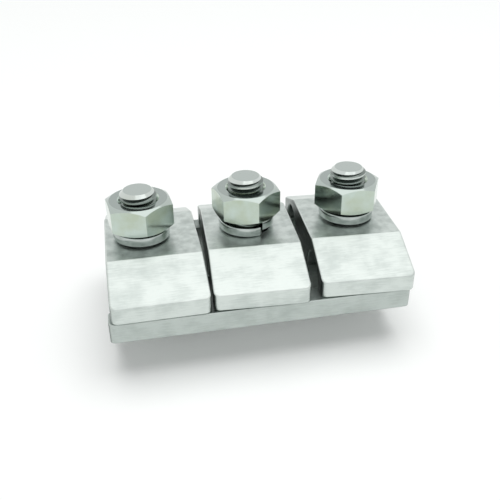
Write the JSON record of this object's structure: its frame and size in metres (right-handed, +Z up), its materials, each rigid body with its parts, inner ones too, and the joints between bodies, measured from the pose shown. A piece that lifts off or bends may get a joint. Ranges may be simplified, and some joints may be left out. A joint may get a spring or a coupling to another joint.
{
  "type": "parallel groove clamp",
  "caption": "Bolted aluminium clamp that joins parallel overhead conductors between a grooved base plate and separate grooved keepers.",
  "frame": {"origin": "centre of the middle bolt head's lower face, which the clamp stands on", "axes": "+X along the conductors, +Y across them, +Z up the bolts towards the nuts"},
  "size_m": [0.0853, 0.0552, 0.0436],
  "materials": {
    "base_aluminium": "sawn and tumbled extruded aluminium",
    "keeper_aluminium": "extruded aluminium, scuffed and softly reflective",
    "zinc_steel": "bright zinc-plated steel",
    "washer_steel": "bright zinc-plated spring steel"
  },
  "bodies": {
    "base": {"base_plate": "base_aluminium", "bolt_left": "zinc_steel", "bolt_middle": "zinc_steel", "bolt_right": "zinc_steel"},
    "washer_left": {"spring_washer_left": "washer_steel"},
    "keeper_left": {"keeper_left": "keeper_aluminium"},
    "nut_left": {"nut_left": "zinc_steel"},
    "washer_middle": {"spring_washer_middle": "washer_steel"},
    "keeper_middle": {"keeper_middle": "keeper_aluminium"},
    "nut_middle": {"nut_middle": "zinc_steel"},
    "washer_right": {"spring_washer_right": "washer_steel"},
    "keeper_right": {"keeper_right": "keeper_aluminium"},
    "nut_right": {"nut_right": "zinc_steel"}
  },
  "joints": [
    {"name": "clamp_travel_left", "type": "slide", "parent": "base", "child": "washer_left", "axis": [0, 0, 1], "range_m": [0, 0.0075]},
    {"name": "keeper_swivel_left", "type": "hinge", "parent": "washer_left", "child": "keeper_left", "pos_m": [-0.03, 0, 0.023], "axis": [0, 0, 1], "range_deg": [-1.5, 0.35]},
    {"name": "nut_turn_left", "type": "hinge", "parent": "washer_left", "child": "nut_left", "pos_m": [-0.03, 0, 0.036], "axis": [0, 0, 1], "range_deg": [0, 1800]},
    {"name": "clamp_travel_middle", "type": "slide", "parent": "base", "child": "washer_middle", "axis": [0, 0, 1], "range_m": [0, 0.0075]},
    {"name": "keeper_swivel_middle", "type": "hinge", "parent": "washer_middle", "child": "keeper_middle", "pos_m": [0, 0, 0.023], "axis": [0, 0, 1], "range_deg": [-0.35, 1.5]},
    {"name": "nut_turn_middle", "type": "hinge", "parent": "washer_middle", "child": "nut_middle", "pos_m": [0, 0, 0.036], "axis": [0, 0, 1], "range_deg": [0, 1800]},
    {"name": "clamp_travel_right", "type": "slide", "parent": "base", "child": "washer_right", "axis": [0, 0, 1], "range_m": [0, 0.0075]},
    {"name": "keeper_swivel_right", "type": "hinge", "parent": "washer_right", "child": "keeper_right", "pos_m": [0.03, 0, 0.023], "axis": [0, 0, 1], "range_deg": [-1.5, 1.5]},
    {"name": "nut_turn_right", "type": "hinge", "parent": "washer_right", "child": "nut_right", "pos_m": [0.03, 0, 0.036], "axis": [0, 0, 1], "range_deg": [0, 1800]}
  ],
  "couplings": [
    {"joint": "nut_turn_left", "follows": "clamp_travel_left", "rad_per_m": 4188.8},
    {"joint": "nut_turn_middle", "follows": "clamp_travel_middle", "rad_per_m": 4188.8},
    {"joint": "nut_turn_right", "follows": "clamp_travel_right", "rad_per_m": 4188.8}
  ]
}
